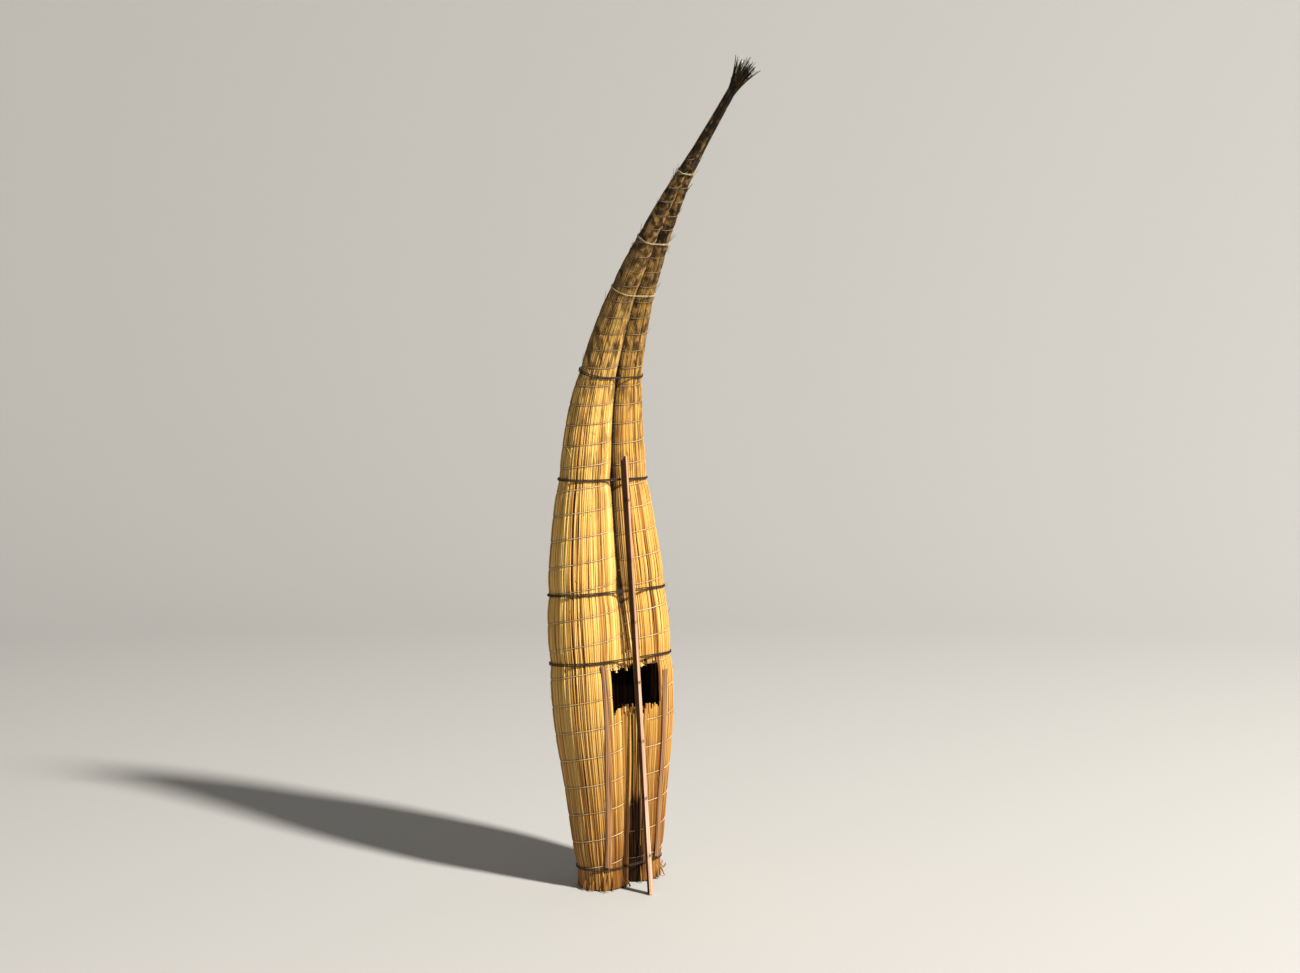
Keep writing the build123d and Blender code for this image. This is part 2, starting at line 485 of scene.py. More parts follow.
def make_twine(materials):
    """Thin twine wound round each bundle."""
    build = Builder()
    rng = random.Random(5)
    for side in (-1, 1):
        for path in twine_paths(MADRES[side], *TWINE_MADRE, 0.0, HIJOS[side]):
            thick = [TWINE_RADIUS if point[2] < TWINE_THIN_FROM else TWINE_RADIUS_BOW for point in path]
            tube(build, path, thick, rng.random(), 4, False)
        for path in twine_paths(HIJOS[side], *TWINE_HIJO, 0.4, MADRES[side]):
            tube(build, path, TWINE_RADIUS, rng.random(), 4, False)
    build.make("twine", materials, "pale_cord")


# Reeds


def reed_tone(rng):
    """Tone of one reed: most are bright, some are brown."""
    if rng.random() < 0.74:
        return rng.uniform(0.50, 1.0)
    return rng.uniform(0.0, 0.45)


def reed_slots(rng, share):
    """Angle and arc of each reed round a bundle, of uneven widths."""
    widths = [rng.uniform(0.62, 1.38) for _ in range(share)]
    total = sum(widths)
    slots = []
    done = 0.0
    for width in widths:
        slots.append(((done + width / 2) / total * TURN, width / total * TURN))
        done += width
    return slots


def crossings(angle, low, high):
    """Heights between low and high where the twine crosses a reed at this angle."""
    turn = math.ceil(twine_phase(low) - angle / TURN) + angle / TURN
    heights = []
    at = 0
    while turn < twine_phase(high):
        while at < len(PHASES) - 1 and PHASES[at + 1] < turn:
            at += 1
        share = (turn - PHASES[at]) / (PHASES[at + 1] - PHASES[at])
        heights.append((at + share) * PHASE_STEP)
        turn += 1
    return heights


def reed_heights(angle, low, high):
    """Heights of a reed's sections, close together where something draws it in."""
    wanted = [low, high]
    for z in crossings(angle, low, high):
        wanted += [z + off for off in (-11, 0, 11)]
    for z in LASHING_Z + TIE_Z:
        wanted += [z + off for off in (-60, -22, 0, 22, 60)]
    wanted = sorted(z for z in wanted if low <= z <= high)
    heights = [low]
    for z in wanted:
        gap = z - heights[-1]
        if gap < 6 and z < high:
            continue
        pieces = int(gap / REED_STEP)
        for i in range(pieces):
            heights.append(heights[-1] + gap / (pieces + 1))
        heights.append(z)
    return heights


def reed_row(bundle, z, angle, width, base):
    """Section of a reed on a bundle: half a tube, open below."""
    r = bundle.radius(z)
    cx, cy = bundle.centre(z)
    bulge = width * 0.44
    row = []
    for k in range(REED_SIDES):
        t = k / (REED_SIDES - 1) * 2 - 1
        a = angle + t * width / 2 / r
        out = base + bulge * (math.sqrt(max(0.0, 1 - t * t)) - 0.6)
        row.append(place(z, cx + out * math.sin(a), cy - out * math.cos(a)))
    return row


def surface_reed(build, rng, bundle, angle, arc, low, high, tone, lift):
    """One reed that lies on a bundle from low to high."""
    wander = wave(rng, 0.30, 900.0)
    proud = wave(rng, 0.7, 520.0)
    heights = reed_heights(angle, low, high)
    pinches = [twine_near(z, angle) for z in heights]
    rows = []
    for z, near in zip(heights, pinches):
        r = bundle.radius(z)
        small = min(1.0, r / 70)
        base = r + (lift + proud(z)) * small - lashing_pull(z) - TWINE_PULL * near * small
        rows.append(reed_row(bundle, z, angle + wander(z) * arc, arc * r * REED_OVERLAP, base))
    build.strip(rows, tone, [z / MM for z in heights], False, 0, pinches)


def core_row(bundle, z):
    """Ring of the dark body under the reeds."""
    cx, cy = bundle.centre(z)
    r = max(2.0, bundle.radius(z) - CORE_SHRINK - lashing_pull(z))
    angles = np.linspace(0, TURN, 49)[:-1]
    return [(cx + r * math.sin(a), cy - r * math.cos(a)) for a in angles]


def add_core(build, bundle, low, high):
    """Dark body under the reeds, open at the cockpit."""
    count = int((high - low) / CORE_STEP)
    heights = [low + (high - low) * i / count for i in range(count + 1)]
    rings = [core_row(bundle, z) for z in heights]
    start = len(build.points)
    for z, row in zip(heights, rings):
        for x, y in row:
            build.add(place(z, x, y), CORE_TONE, z / MM, 0.5)
    size = len(rings[0])
    for i in range(count):
        z = (heights[i] + heights[i + 1]) / 2
        for j in range(size):
            k = (j + 1) % size
            x = (rings[i][j][0] + rings[i][k][0]) / 2
            y = (rings[i][j][1] + rings[i][k][1]) / 2
            if in_cockpit(x, y, z, 0):
                continue
            a = start + i * size + j
            b = start + i * size + k
            build.faces.append((a, b, b + size, a + size))
            build.marks.append(1)
    build.cap([place(low, x, y) for x, y in rings[0]][::-1], CORE_TONE, 0.0, 1)
    build.cap([place(high, x, y) for x, y in rings[-1]], CORE_TONE, 0.0, 1)


def madre_spans(side, angle, rng):
    """Lengths of a reed, which stops at the cockpit."""
    r = hull_radius((COCKPIT_LOW + COCKPIT_HIGH) / 2)
    x = side * PRESS * r + r * math.sin(angle)
    start = rng.uniform(0, 5)
    if abs(x) < COCKPIT_HALF_WIDTH and math.cos(angle) > 0:
        return [(start, COCKPIT_LOW + rng.uniform(-22, 14)), (COCKPIT_HIGH + rng.uniform(-10, 24), BOW_END)]
    return [(start, BOW_END)]


def make_madre(side, name, materials):
    """Reeds of one main bundle over its dark body."""
    rng = random.Random(11 + side)
    build = Builder()
    bundle = MADRES[side]
    crack = math.radians(CRACK_ANGLE) % TURN
    for angle, arc in reed_slots(rng, REEDS_MADRE):
        if math.sin(angle) * side < -0.98:
            continue
        tone = reed_tone(rng)
        lift = rng.uniform(-1.7, 1.5)
        spans = madre_spans(side, angle, rng)
        if side < 0 and abs(angle - crack) < arc * 0.5:
            width = arc * CRACK_WIDTH
            surface_reed(build, rng, bundle, angle, width, CRACK_LOW, CRACK_HIGH, CRACK_SHADE_TONE, CRACK_LIFT)
            spans = [(spans[0][0], CRACK_LOW), (CRACK_HIGH, BOW_END)]
        for low, high in spans:
            surface_reed(build, rng, bundle, angle, arc, low, high, tone, lift)
    add_core(build, bundle, 1, BOW_END)
    build.make("reeds_" + name, materials, "reed_main", name)


def make_hijo(side, name, materials, seed):
    """Reeds of one upper bundle, ragged at the cockpit."""
    rng = random.Random(seed)
    build = Builder()
    bundle = HIJOS[side]
    foot = HIJO[0][0]
    top = HIJO[-1][0]
    for angle, arc in reed_slots(rng, REEDS_HIJO):
        if math.cos(angle) < -0.55:
            continue
        low = foot + rng.uniform(-26, 12)
        tone = reed_tone(rng)
        lift = rng.uniform(-2.0, 1.5)
        surface_reed(build, rng, bundle, angle, arc, low, top, tone, lift)
    add_core(build, bundle, foot + 14, top)
    add_ends(build, rng, bundle, foot - 18, foot + 60)
    build.make("reeds_" + name, materials, "reed_upper", name)


def disc_grid(radius, pitch):
    """Close-packed places inside a circle."""
    places = []
    rows = int(radius / (pitch * 0.866)) + 1
    for i in range(-rows, rows + 1):
        y = i * pitch * 0.866
        shift = pitch / 2 if i % 2 else 0.0
        for j in range(-rows - 2, rows + 3):
            x = j * pitch + shift
            if x * x + y * y < radius * radius:
                places.append((x, y))
    return places


def add_ends(build, rng, bundle, low, high):
    """Cut reed ends that fill the lower end of a bundle."""
    for u, v in disc_grid(bundle.radius((low + high) / 2) - 7, END_PITCH):
        bottom = low + rng.uniform(-4, 26)
        u += rng.uniform(-1.5, 1.5)
        v += rng.uniform(-1.5, 1.5)
        cx, cy = bundle.centre(max(low, bottom))
        if MADRES[bundle.side].holds(cx + u, cy + v, low, 4) or (cx + u) * bundle.side < 3:
            continue
        path = [place(z, cx + u, cy + v) for z in (bottom, high)]
        tube(build, path, rng.uniform(4.5, 6.0), rng.random(), 6)


def stub_foot(rng, side, x):
    """Height where a stub starts: low down, or higher where the groove stands open."""
    low = rng.uniform(0, 8) if rng.random() < 0.85 else rng.uniform(120, 420)
    if side > 0:
        return max(low, STERN_GAP - 3.6 * (x + 20) + rng.uniform(-20, 20))
    if x > -34:
        return max(low, STERN_GAP - 7.0 * abs(x))
    return low


def make_filler(rows, side, name, materials, seed):
    """Loose stubs behind the cockpit that end in a ragged top."""
    rng = random.Random(seed)
    build = Builder()
    bundle = Bundle(side, rows)
    top = rows[-1][0]
    full = bundle.radius(top)
    steps = 14
    for u, v in disc_grid(full - 5, STUB_PITCH):
        u += rng.uniform(-2, 2)
        v += rng.uniform(-2, 2)
        cx, cy = bundle.centre(top)
        if MADRES[side].holds(cx + u, cy + v, top, 7) or (cx + u) * side < 2:
            continue
        high = top + rng.uniform(-45, 18)
        low = stub_foot(rng, side, cx + u)
        sway = wave(rng, 2.0, 600.0)
        thick = rng.uniform(4.4, 6.4)
        path = []
        radii = []
        for i in range(steps + 1):
            z = low + (high - low) * i / steps
            share = bundle.radius(z) / full
            cx, cy = bundle.centre(z)
            path.append(place(z, cx + u * share + sway(z), cy + v * share))
            radii.append(thick * (0.55 + 0.45 * share))
        tube(build, path, radii, rng.random(), 6)
    build.make("reeds_" + name, materials, "reed_upper", name)


def covered(x, y, z, margin):
    """Whether a world place lies deeper than the margin inside the bundles."""
    local = (y - hull_y(z)) * math.sqrt(1 + hull_slope(z) ** 2)
    filler = Bundle(1, FILLER_LEFT if x < 0 else FILLER_RIGHT)
    return any(bundle.holds(abs(x), local, z, margin) for bundle in (MADRES[1], HIJOS[1], filler))


def make_cockpit(materials):
    """Reeds that show inside the cockpit: its walls and the cut ends above and below, coloured near-black as
    painted shade.
    """
    rng = random.Random(31)
    build = Builder()
    low = COCKPIT_LOW - 25
    high = COCKPIT_HIGH + 25
    for x in np.arange(-COCKPIT_HALF_WIDTH, COCKPIT_HALF_WIDTH, WALL_PITCH):
        y = COCKPIT_BACK_Y + rng.uniform(-5, 5)
        tube(build, [(x, y, low), (x, y, high)], WALL_REED, rng.random(), 6, False)
    for side in (-1, 1):
        for y in np.arange(COCKPIT_FRONT_Y, COCKPIT_BACK_Y, WALL_PITCH):
            x = side * (COCKPIT_HALF_WIDTH + rng.uniform(-3, 3))
            if covered(x, y, low, 12) and covered(x, y, high, 12):
                tube(build, [(x, y, low), (x, y, high)], WALL_REED, rng.random(), 6, False)
    for x in np.arange(6 - COCKPIT_HALF_WIDTH, COCKPIT_HALF_WIDTH, FLOOR_PITCH):
        for y in np.arange(COCKPIT_FRONT_Y, COCKPIT_BACK_Y, FLOOR_PITCH):
            for edge, away in ((COCKPIT_LOW, -1), (COCKPIT_HIGH, 1)):
                near = edge + away * rng.uniform(-6, 20)
                far = near + away * 35
                if covered(x, y, near, 14) and covered(x, y, far, 14):
                    path = [(x, y, z) for z in sorted((near, far))]
                    tube(build, path, FLOOR_REED, rng.random(), 6)
    build.make("cockpit_walls", materials, "reed_main")


def neck_point(t):
    """Centre and radius along the neck, t from 0 to 1."""
    z = NECK[0][0] + (NECK[-1][0] - NECK[0][0]) * t
    return np.array((0.0, between(NECK, z, 1), z)), between(NECK, z, 2)


def neck_flat(t):
    """The neck is flatter at its foot, so that it comes out of the groove without a step."""
    return 0.80 + 0.20 * t


def neck_row(t, angle, arc, lift):
    """Section of a reed on the neck."""
    middle, r = neck_point(t)
    ahead, _ = neck_point(min(1.0, t + 0.05))
    back, _ = neck_point(max(0.0, t - 0.05))
    along = (ahead - back) / np.linalg.norm(ahead - back)
    # Wider to the side where the two bundles still lie apart
    side = SIDE_AXIS * (1.0 + 0.16 * (1 - t) ** 2)
    other = np.cross(along, SIDE_AXIS) * neck_flat(t)
    row = []
    for k in range(REED_SIDES):
        s = k / (REED_SIDES - 1) * 2 - 1
        a = angle + s * arc * REED_OVERLAP / 2
        out = r + lift * (1 - t * 0.5) + arc * r * 0.4 * (math.sqrt(max(0.0, 1 - s * s)) - 0.6)
        row.append(middle + side * out * math.sin(a) + other * out * math.cos(a))
    return row


def make_neck(materials):
    """Reeds of both main bundles drawn together at the bow."""
    rng = random.Random(41)
    build = Builder()
    shares = [i / 14 for i in range(15)]
    runs = [neck_point(t)[0][2] / MM for t in shares]
    for angle, arc in reed_slots(rng, REEDS_NECK):
        tone = rng.random()
        lift = rng.uniform(-1.5, 1.5)
        twist = rng.uniform(-0.25, 0.25)
        rows = [neck_row(t, angle + twist * t, arc, lift) for t in shares]
        build.strip(rows, tone, runs, False)
    path = []
    radii = []
    for t in (i / 8 for i in range(9)):
        middle, r = neck_point(t)
        path.append(middle)
        radii.append(r * neck_flat(t) - 2.5)
    # Body of the neck under its reeds, dark as painted shade in the gaps
    tube(build, path, radii, CORE_TONE, 16, True, 1)
    build.make("reeds_bow_neck", materials, "reed_bow", "bow_neck")


def make_tuft(materials):
    """Loose reed tips beyond the last tie."""
    rng = random.Random(43)
    build = Builder()
    root = np.array((0.0, TUFT_ROOT[1], TUFT_ROOT[0]))
    tip = np.array((0.0, TUFT_TIP[1], TUFT_TIP[0]))
    along = (tip - root) / np.linalg.norm(tip - root)
    other = np.cross(along, SIDE_AXIS)
    for i in range(REEDS_TUFT):
        a = rng.uniform(0, TURN)
        r = TUFT_RADIUS * math.sqrt(rng.random())
        start = root + SIDE_AXIS * r * math.sin(a) + other * r * math.cos(a)
        outward = SIDE_AXIS * math.sin(a) + other * math.cos(a)
        spread = 0.26 * (r / TUFT_RADIUS) * rng.uniform(0.3, 1.0)
        length = rng.uniform(130, 205) * (1.0 if i % 7 else 0.6)
        bend = rng.uniform(-14, 22)
        thick = rng.uniform(2.0, 3.4)
        path = []
        radii = []
        for t in (j / 5 for j in range(6)):
            out = spread * length * t * t * 0.9 + spread * length * t * 0.35
            droop = SIDE_AXIS * bend * t * t * math.sin(a + 1) * 0.4
            path.append(start + along * length * t + outward * out + droop)
            radii.append(thick * (1 - 0.45 * t))
        tube(build, path, radii, rng.random(), 4)
    build.make("reeds_bow_tuft", materials, "reed_tuft", "bow_tuft")


def on_madre(side, angle, r):
    """Local place on a main bundle of radius r."""
    return side * PRESS * r + r * math.sin(angle), -r * math.cos(angle)


def add_bits(build, rng):
    """Short broken bits along the hull, most of them towards the bow."""
    for i in range(LOOSE_BITS):
        side = rng.choice((-1, 1))
        low_down = i % 4 == 0
        z = rng.uniform(150, 3500) if low_down else rng.uniform(2450, 3520)
        a = rng.uniform(0, TURN)
        if math.sin(a) * side < -0.3:
            a += math.pi
        x, y = on_madre(side, a, hull_radius(z))
        if in_cockpit(x, y, z, 30) or HIJOS[side].holds(x, y, z, 2):
            continue
        root = place(z, x, y)
        out = place(z, x + math.sin(a), y - math.cos(a)) - root
        along = tangent(z) * rng.choice((-1, 1, 1))
        length = rng.uniform(18, 58)
        tilt = rng.uniform(0.08, 0.55) if low_down else rng.uniform(0.02, 0.25)
        sideways = np.cross(out, along) * rng.uniform(-0.3, 0.3)
        path = []
        radii = []
        for t in (j / 3 for j in range(4)):
            stand_off = out * length * tilt * t * (0.6 + 0.4 * t)
            path.append(root + (along + sideways) * length * t + stand_off)
            radii.append((1 - 0.5 * t) * 1.5)
        tube(build, path, radii, rng.random(), 4)


def add_frays(build, rng):
    """Frayed reeds that splay out at the foot."""
    for _ in range(FOOT_FRAYS):
        side = rng.choice((-1, 1, 1))
        a = rng.uniform(-0.6, 2.2) * side
        x, y = on_madre(side, a, hull_radius(FOOT_Z) + rng.uniform(-4, 3))
        out = np.array((math.sin(a), -math.cos(a), 0.0))
        start = place(rng.uniform(35, 80), x, y)
        end = place(4, x, y) + out * rng.uniform(6, 34)
        end[2] = rng.uniform(2.5, 9.0)
        middle = (start + end) / 2 + out * 3
        tube(build, [start, middle, end], [3.4, 3.2, 2.6], rng.random(), 5)


def add_curls(build, rng):
    """Bright curled ends at the right foot."""
    for i in range(FOOT_CURLS):
        a = 0.9 + 0.22 * i + rng.uniform(-0.08, 0.08)
        x, y = on_madre(1, a, hull_radius(FOOT_Z))
        out = np.array((math.sin(a), -math.cos(a), 0.0))
        root = place(rng.uniform(50, 75), x, y)
        size = rng.uniform(0.7, 1.15)
        path = [root + out * far * size + np.array((0.0, 0.0, high * size)) for far, high in CURL_PATH]
        path = [np.array((p[0], p[1], max(p[2], 4.0))) for p in path]
        tube(build, path, CURL_RADII, 0.75 + 0.2 * rng.random(), 5)


def make_loose(materials):
    """Broken bits of reed that stand off the bundles."""
    rng = random.Random(47)
    build = Builder()
    add_bits(build, rng)
    add_frays(build, rng)
    add_curls(build, rng)
    build.make("loose_reeds", materials, "reed_main")


# Cords


def loop_circles(z):
    """Circles that a cord at height z goes round, as x, y and radius."""
    r = hull_radius(z)
    circles = [(-PRESS * r, 0, r), (PRESS * r, 0, r)]
    for rows, sides in ((HIJO, (-1, 1)), (FILLER_LEFT, (-1,)), (FILLER_RIGHT, (1,))):
        if rows[0][0] < z < rows[-1][0]:
            for side in sides:
                circles.append((side * between(rows, z, 2), -between(rows, z, 3), between(rows, z, 1)))
    return circles


def hull_loop(z, grow):
    """Points of a tight loop round the bundles at height z, evenly spaced."""
    count = 110
    degrees = 360
    circles = loop_circles(z)
    angles = np.linspace(0, TURN, degrees + 1)[:-1]
    reach = [max(x * math.cos(a) + y * math.sin(a) + q + grow for x, y, q in circles) for a in angles]
    points = []
    for i, a in enumerate(angles):
        out = reach[i]
        slope = (reach[(i + 1) % degrees] - reach[i - 1]) / (2 * math.radians(1))
        points.append((out * math.cos(a) - slope * math.sin(a), out * math.sin(a) + slope * math.cos(a)))
    points = np.array(points)
    steps = np.linalg.norm(np.roll(points, -1, axis=0) - points, axis=1)
    total = np.concatenate(([0], np.cumsum(steps)))
    closed = np.vstack((points, points[:1]))
    wanted = np.linspace(0, total[-1], count + 1)[:-1]
    return [(np.interp(s, total, closed[:, 0]), np.interp(s, total, closed[:, 1])) for s in wanted]


def cord_loops(build, z, radius, rng):
    """Two turns of cord round the whole boat."""
    for turn in (-0.5, 0.5):
        off = turn * radius * 1.9
        sway = wave(rng, 2.2, 1.0)
        loop = hull_loop(z, radius + 1.0 - lashing_pull(z) * 0.45)
        path = [place(z + off + sway(i / len(loop)), x, y) for i, (x, y) in enumerate(loop)]
        twisted(build, path, radius * 0.5, radius * 0.55, radius * 9, rng.random())


def groove_strands(build, z, radius, rng):
    """Strands that dive from the main cord into the groove on the hull side."""
    r = hull_radius(z)
    for sign in (-1, 1):
        path = []
        for i in range(13):
            t = i / 12 * 2 - 1
            x = sign * t * r * 0.62
            dip = math.cos(t * math.pi / 2) ** 2
            crown = math.sqrt(max(0.0, r * r - (abs(x) - PRESS * r) ** 2))
            y = min((r + 3) * (1 - 0.45 * dip) + 2, crown + 5)
            path.append(place(z - sign * 14 * dip - 18 * dip, x, y))
        tube(build, path, radius * 0.8, rng.random(), 5)


def make_lashings(materials):
    """Dark cords round the boat."""
    build = Builder()
    rng = random.Random(3)
    for z in LASHING_Z:
        cord_loops(build, z, STERN_CORD if z < STERN_GAP else LASHING_RADIUS, rng)
        groove_strands(build, z, STRAND_RADIUS, rng)
    build.make("rope_lashings", materials, "dark_cord", "lashings")


def make_ties(materials):
    """Pale cords round the bow."""
    build = Builder()
    rng = random.Random(4)
    for z in TIE_Z:
        cord_loops(build, z, TIE_RADIUS, rng)
    build.make("rope_ties", materials, "pale_cord", "bow_ties")


# Cane


def batten_point(rows, z):
    """Place on the main bundle's crown under a cane strip."""
    low, high = rows
    x = low[1] + (high[1] - low[1]) * (z - low[0]) / (high[0] - low[0])
    radius = hull_radius(z)
    off = abs(x) - PRESS * radius
    return x, -math.sqrt(max(radius * radius - off * off, 1.0))


def make_batten(rows, name, materials, seed):
    """Cane strip with rounded edges that follows the bundle."""
    build = Builder()
    sway = wave(random.Random(seed), 2.0, 700.0)
    skin = []
    runs = []
    count = 30
    for i in range(count + 1):
        z = rows[0][0] + (rows[1][0] - rows[0][0]) * i / count
        x, y = batten_point(rows, z)
        x += sway(z)
        centre = math.copysign(PRESS * hull_radius(z), x)
        out = np.array((x - centre, y)) / math.hypot(x - centre, y)
        side = np.array((-out[1], out[0]))
        ring = []
        for u, v in ((-0.5, 0.1), (-0.42, 0.75), (-0.2, 1.0), (0.2, 1.0), (0.42, 0.75), (0.5, 0.1)):
            spot = np.array((x, y)) + side * u * BATTEN_WIDTH + out * (v * BATTEN_THICK + 0.6)
            ring.append(place(z, spot[0], spot[1]))
        skin.append(ring)
        runs.append(z / MM)
    build.strip(skin, 0.3, runs, True)
    build.cap(skin[0][::-1], 0.3, 0.0)
    build.cap(skin[-1], 0.3, 1.0)
    build.make("cane_" + name, materials, "cane_strip", name)


def loop_front(z):
    """Place on the deck side of the CAD cord at height z, as y and z."""
    deck_height = max(q - y for _, y, q in loop_circles(z))
    taper = abs(hull_radius(z + CORD_WIDTH) - hull_radius(z)) + LOOP_SLACK
    out = deck_height + taper + CORD + LOOP_SEAT
    angle = math.atan(hull_slope(z))
    low = CORD_WIDTH / 2
    y = hull_y(z) - out * math.cos(angle) - low * math.sin(angle)
    return y, z + out * math.sin(angle) - low * math.cos(angle)


def paddle_line():
    """Foot and top of the paddle's axis, which leans on two of the cords."""
    y_low, z_low = loop_front(LASHING_Z[1])
    y_high, z_high = loop_front(LASHING_Z[2])
    slope = (y_high - y_low) / (z_high - z_low)
    size = math.sqrt(1 + slope * slope)
    reach = PADDLE_RADIUS * math.sin(math.radians(PADDLE_TURN_SOLID))
    foot_y = y_low - slope * z_low - reach * size
    top_z = PADDLE_LENGTH / size
    foot = np.array((PADDLE_FOOT_X, foot_y, 0.0))
    return foot, np.array((PADDLE_TOP_X, foot_y + slope * top_z, top_z))


def node_swell(s):
    """Thickening of the cane at its nodes, with a waist above each."""
    swell = 0
    for at in PADDLE_NODES:
        swell += 1.5 * math.exp(-(((s - at) / 6.0) ** 2)) - 0.8 * math.exp(-(((s - at - 9) / 4.0) ** 2))
    return swell


def make_paddle(materials):
    """Half of a split cane: smooth skin outside, rough inside, a wall at each node."""
    build = Builder()
    foot, top = paddle_line()
    along = (top - foot) / np.linalg.norm(top - foot)
    across = SIDE_AXIS - along * along[0]
    across = across / np.linalg.norm(across)
    deep = np.cross(along, across)
    stops = {0, 6, PADDLE_LENGTH - 6, PADDLE_LENGTH}
    stops.update(PADDLE_LENGTH * i / 60 for i in range(61))
    stops.update(at + off for at in PADDLE_NODES for off in (-12, -6, -3, 0, 3, 6, 9, 13, 18))
    stops = sorted(stops)
    runs = [s / MM for s in stops]
    scars = [max(math.exp(-(((s - at - 3) / 7.0) ** 2)) for at in PADDLE_NODES) for s in stops]
    arc = [math.pi * k / 14 for k in range(15)]
    outer = []
    inner = []
    for s in stops:
        t = s / PADDLE_LENGTH
        turn = math.radians(PADDLE_TURN_FOOT + (PADDLE_TURN_TOP - PADDLE_TURN_FOOT) * t)
        width = PADDLE_RADIUS * (1.0 - PADDLE_TAPER * t) * (1.0 if 0 < s < PADDLE_LENGTH else 0.985)
        middle = foot + along * s
        open_side = -across * math.sin(turn) + deep * math.cos(turn)
        edge = across * math.cos(turn) + deep * math.sin(turn)
        rim = [math.cos(a) * edge - math.sin(a) * open_side for a in arc]
        r = width + node_swell(s)
        q = width - PADDLE_WALL
        outer.append([middle + r * way for way in rim])
        inner.append([middle + q * way for way in rim[::-1]])
    build.strip(outer, 0.5, runs, False, 0, scars)
    build.strip(inner, 0.5, runs, False, 1)
    for this, that in ((outer, inner), (inner, outer)):
        build.strip([[row[-1], other[0]] for row, other in zip(this, that)], 0.5, runs, False, 2)
    build.cap((outer[0] + inner[0])[::-1], 0.5, 0.0, 2)
    build.cap(outer[-1] + inner[-1], 0.5, PADDLE_LENGTH / MM, 2)
    for at in PADDLE_NODES:
        i = min(range(len(stops)), key=lambda n: abs(stops[n] - at))
        build.cap(inner[i], 0.5, runs[i], 1)
        build.cap(inner[i][::-1], 0.5, runs[i], 1)
    build.make("cane_paddle", materials, "cane_paddle", "paddle")


# Materials. Colours are linear. The value run is the height in metres.

REED_STOPS = [
    (0.0, (0.030, 0.010, 0.003)),
    (0.16, (0.13, 0.048, 0.010)),
    (0.32, (0.33, 0.140, 0.027)),
    (0.52, (0.57, 0.310, 0.066)),
    (0.76, (0.74, 0.470, 0.130)),
    (1.0, (0.88, 0.670, 0.240)),
]
# Weathered grey-brown of the bow
OLD_STOPS = [
    (0.20, (0.008, 0.006, 0.004)),
    (0.42, (0.022, 0.013, 0.006)),
    (0.60, (0.110, 0.062, 0.020)),
    (0.80, (0.36, 0.21, 0.065)),
]
# Near-black reeds inside the cockpit: painted shade
PIT_SHADE_STOPS = [(0.0, (0.001, 0.001, 0.001)), (0.6, (0.003, 0.002, 0.001)), (1.0, (0.010, 0.005, 0.002))]
TUFT_STOPS = [(0.0, (0.003, 0.003, 0.002)), (0.55, (0.009, 0.010, 0.006)), (1.0, (0.034, 0.034, 0.019))]
TWINE_STOPS = [(0.3, (0.34, 0.23, 0.10)), (0.62, (0.68, 0.53, 0.31))]

# Browns laid over the reeds
BLOTCH = (0.20, 0.098, 0.026)
PATCH = (0.085, 0.042, 0.014)
# Red-brown stain, partly painted shade on the lower hull
STAIN_AND_UNDERCUT_SHADE = (0.19, 0.062, 0.008)
WET = (0.12, 0.038, 0.008)
# Painted shade in the creases where the twine passes
PINCH_SHADE = (0.12, 0.052, 0.014)
OLD_TWINE = (0.16, 0.105, 0.050)
SCAR = (0.045, 0.026, 0.022)
# Colours that darken what they are multiplied with
# Dirt and painted shade in the grooves between the bundles
GROOVE_DIRT_AND_SHADE = (0.050, 0.028, 0.018)
# Painted shade on the twine in the grooves
TWINE_GROOVE_SHADE = (0.20, 0.16, 0.13)
CANE_FADE = (0.74, 0.67, 0.58)

# How much of the bow is weathered
AGE = 0.95


